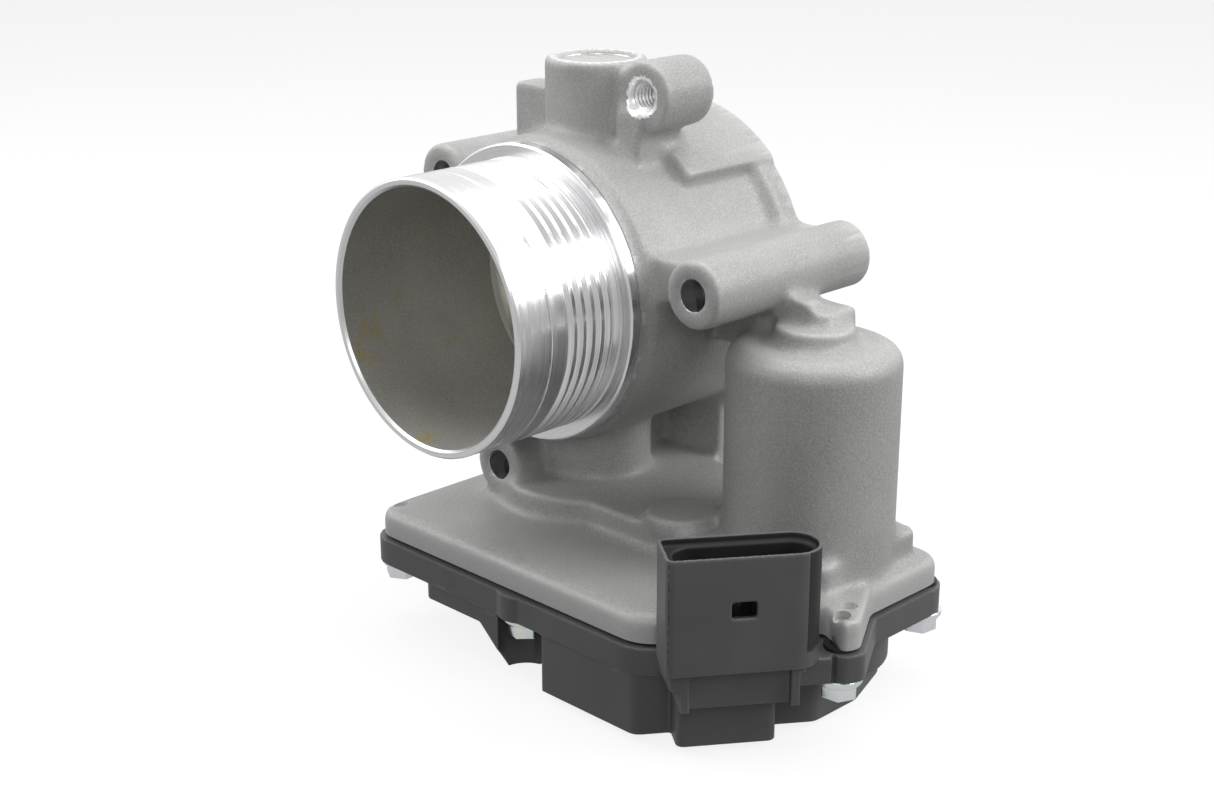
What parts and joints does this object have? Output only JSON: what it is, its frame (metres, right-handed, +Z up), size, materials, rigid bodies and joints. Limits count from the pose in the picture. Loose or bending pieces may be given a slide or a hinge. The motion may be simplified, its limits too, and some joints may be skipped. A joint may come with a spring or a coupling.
{
  "type": "throttle body",
  "caption": "Electronic throttle body: cast housing with a ridged hose spigot, motor canister, upright butterfly shaft and a moulded gear cover with an upward plug socket.",
  "frame": {"origin": "middle of the bore at the manifold face", "axes": "+Y along the bore from the hose spigot to the manifold, +Z up along the throttle shaft, +X towards the motor"},
  "size_m": [0.132, 0.0779, 0.1264],
  "materials": {
    "cast_aluminium": "sand-grain matt die casting, machined bright on the spigot, collar, throat and manifold face",
    "plug_steel": "dull pressed steel",
    "bearing_steel": "ground bearing steel",
    "seal_rubber": "matt black rubber",
    "shaft_steel": "ground steel",
    "plate_brass": "satin rolled brass",
    "screw_steel": "dark steel",
    "gear_plastic_dark": "dark glass-filled nylon",
    "gear_plastic_light": "natural acetal",
    "magnet": "sintered ferrite",
    "spring_steel": "oil-tempered spring wire",
    "bronze": "sintered bronze",
    "can_steel": "drawn zinc-coated steel",
    "carbon": "pressed carbon",
    "winding_copper": "enamelled copper and laminations",
    "pinion_brass": "hobbed brass",
    "contact_brass": "stamped brass",
    "contact_tin": "tin-plated brass",
    "cover_plastic": "matt dark-grey glass-filled plastic with a fine moulded grain",
    "board_green": "solder-masked board",
    "chip_black": "moulded epoxy",
    "zinc_plate": "clear-passivated zinc with a faint iridescence"
  },
  "bodies": {
    "root": {"housing": "cast_aluminium", "shaft_plug": "plug_steel", "upper_bearing": "bearing_steel", "upper_seal": "seal_rubber", "lower_seal": "seal_rubber", "lower_bearing_outer": "bearing_steel", "lower_bearing_balls": "bearing_steel", "return_spring": "spring_steel", "intermediate_axle": "shaft_steel", "motor_can": "can_steel", "motor_magnets": "magnet", "motor_bearings": "bronze", "motor_end_cap": "gear_plastic_dark", "motor_brushes": "carbon", "motor_plate": "can_steel", "motor_screws": "screw_steel", "wave_spring": "spring_steel", "motor_contacts": "contact_brass", "cover_seal": "seal_rubber", "gear_cover": "cover_plastic", "connector_pins": "contact_tin", "lead_frame": "contact_brass", "sensor_board": "board_green", "sensor_chip": "chip_black", "screw_sleeves": "shaft_steel", "cover_screws": "zinc_plate"},
    "throttle": {"lower_bearing_inner": "bearing_steel", "throttle_shaft": "shaft_steel", "throttle_plate": "plate_brass", "plate_screws": "screw_steel", "gear_insert": "shaft_steel", "sector_gear": "gear_plastic_dark", "sensor_magnet": "magnet"},
    "intermediate": {"intermediate_bush": "bronze", "intermediate_gear": "gear_plastic_light"},
    "rotor": {"motor_shaft": "shaft_steel", "armature": "winding_copper", "commutator": "winding_copper", "motor_pinion": "pinion_brass"}
  },
  "joints": [
    {"name": "throttle_turn", "type": "hinge", "parent": "root", "child": "throttle", "pos_m": [0, -0.0285, 0], "axis": [0, 0, 1], "range_deg": [0, 90], "stiffness_Nm_per_rad": 0.02},
    {"name": "intermediate_turn", "type": "hinge", "parent": "root", "child": "intermediate", "pos_m": [0.03642, -0.03936, -0.06], "axis": [0, 0, 1], "range_deg": [-154.3, 0]},
    {"name": "rotor_turn", "type": "hinge", "parent": "root", "child": "rotor", "pos_m": [0.0581, -0.0243, -0.03], "axis": [0, 0, 1], "range_deg": [0, 977.15]}
  ],
  "couplings": [
    {"joint": "intermediate_turn", "follows": "throttle_turn", "ratio": -1.7143},
    {"joint": "rotor_turn", "follows": "throttle_turn", "ratio": 10.857}
  ]
}
